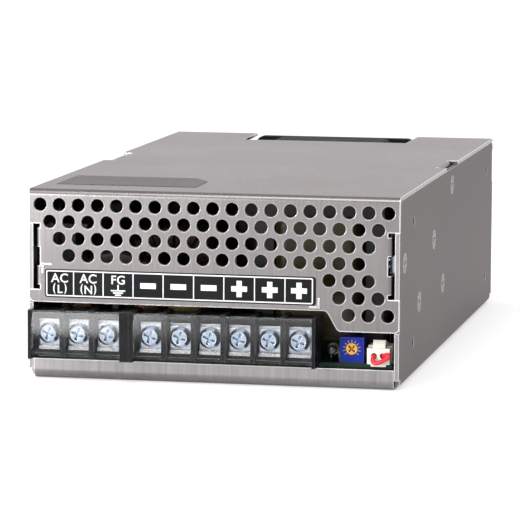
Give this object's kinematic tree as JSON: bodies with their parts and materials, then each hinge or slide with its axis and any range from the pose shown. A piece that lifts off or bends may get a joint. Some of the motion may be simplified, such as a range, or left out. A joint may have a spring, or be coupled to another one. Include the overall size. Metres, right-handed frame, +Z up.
{
  "type": "enclosed switching power supply",
  "caption": "Fan-cooled enclosed switching power supply in a folded sheet-metal case with a perforated mesh front, covered screw terminals and board-mounted power parts",
  "frame": {"origin": "middle of the underside of the case, in the plane of the chassis floor's outer face; the terminal blocks stand in front of the case, so the box reaches further to the front than to the rear", "axes": "+X to the right seen from the terminal end, +Y to the rear (the fan end), +Z up out of the perforated cover"},
  "size_m": [0.12, 0.2225, 0.061],
  "materials": {
    "chassis_steel": "zinc-plated sheet, fine vertical brushing",
    "cover_steel": "zinc-plated sheet, satin",
    "zinc_fasteners": "bright zinc plating",
    "tinned_brass": "tinned",
    "black_plastic": "moulded, satin",
    "clear_plastic": "clear moulded plastic",
    "lamp_plastic": "tinted clear, unlit",
    "blue_plastic": "moulded, glossy",
    "orange_plastic": "moulded",
    "ivory_nylon": "unpainted nylon",
    "red_insulation": "wire insulation",
    "insulating_film": "thin film",
    "board_laminate": "green solder mask",
    "copper_wire": "enamelled copper",
    "coated_core": "powder-coated ring core",
    "ferrite": "ground ferrite",
    "yellow_tape": "polyester tape",
    "yellow_plastic": "moulded box",
    "capacitor_sleeve": "shrunk sleeve",
    "epoxy_black": "moulded epoxy",
    "thermal_pad": "soft gap pad",
    "white_ceramic": "glazed tube with metal caps",
    "sink_aluminium": "extruded, plain"
  },
  "bodies": {
    "case": {"chassis": "chassis_steel", "cover": "cover_steel", "clip_nuts": "zinc_fasteners", "cover_screws": "zinc_fasteners", "heatsink_screws": "zinc_fasteners", "standoffs": "zinc_fasteners", "insulation_sheet": "insulating_film", "main_board": "board_laminate", "board_screws": "zinc_fasteners", "ac_terminal_body": "black_plastic", "dc_terminal_body": "black_plastic", "contact_plates": "tinned_brass", "square_washers": "zinc_fasteners", "terminal_screws": "zinc_fasteners", "status_lamp": "lamp_plastic", "trimmer_body": "blue_plastic", "remote_socket": "ivory_nylon", "socket_pins": "tinned_brass", "remote_plug": "ivory_nylon", "jumper_wire": "red_insulation", "fan_frame": "black_plastic", "fan_stator": "copper_wire", "fan_screws": "zinc_fasteners", "fan_lead": "red_insulation", "fan_socket": "ivory_nylon", "heatsink_left": "sink_aluminium", "heatsink_right": "sink_aluminium", "thermal_pads": "thermal_pad", "power_transistors": "epoxy_black", "output_rectifiers": "epoxy_black", "bridge_rectifier": "epoxy_black", "device_screws": "zinc_fasteners", "line_fuse": "white_ceramic", "fuse_clips": "tinned_brass", "x_capacitors": "yellow_plastic", "y_capacitors": "blue_plastic", "filter_choke_core": "coated_core", "filter_choke_winding": "copper_wire", "boost_choke_core": "coated_core", "boost_choke_winding": "copper_wire", "output_choke_core": "ferrite", "output_choke_coil": "yellow_tape", "transformer_core": "ferrite", "transformer_coil": "yellow_tape", "bulk_capacitors": "capacitor_sleeve", "output_capacitors": "capacitor_sleeve", "thermistor": "epoxy_black", "inrush_relay": "black_plastic", "control_board": "board_laminate", "control_chips": "epoxy_black"},
    "fan_wheel": {"fan_rotor": "black_plastic"},
    "trimmer": {"trimmer_rotor": "orange_plastic"},
    "ac_lid": {"ac_terminal_cover": "clear_plastic"},
    "dc_lid": {"dc_terminal_cover": "clear_plastic"}
  },
  "joints": [
    {"name": "fan_spin", "type": "hinge", "parent": "case", "child": "fan_wheel", "pos_m": [0.0012, 0.0935, 0.0305], "axis": [0, 1, 0], "continuous": true},
    {"name": "trimmer_turn", "type": "hinge", "parent": "case", "child": "trimmer", "pos_m": [0.0443, -0.1035, 0.0124], "axis": [0, 1, 0], "range_deg": [-130, 130]},
    {"name": "ac_lid_hinge", "type": "hinge", "parent": "case", "child": "ac_lid", "pos_m": [-0.0429, -0.1141, 0.0222], "axis": [-1, 0, 0], "range_deg": [0, 100]},
    {"name": "dc_lid_hinge", "type": "hinge", "parent": "case", "child": "dc_lid", "pos_m": [0.0047, -0.1141, 0.0222], "axis": [-1, 0, 0], "range_deg": [0, 100]}
  ]
}
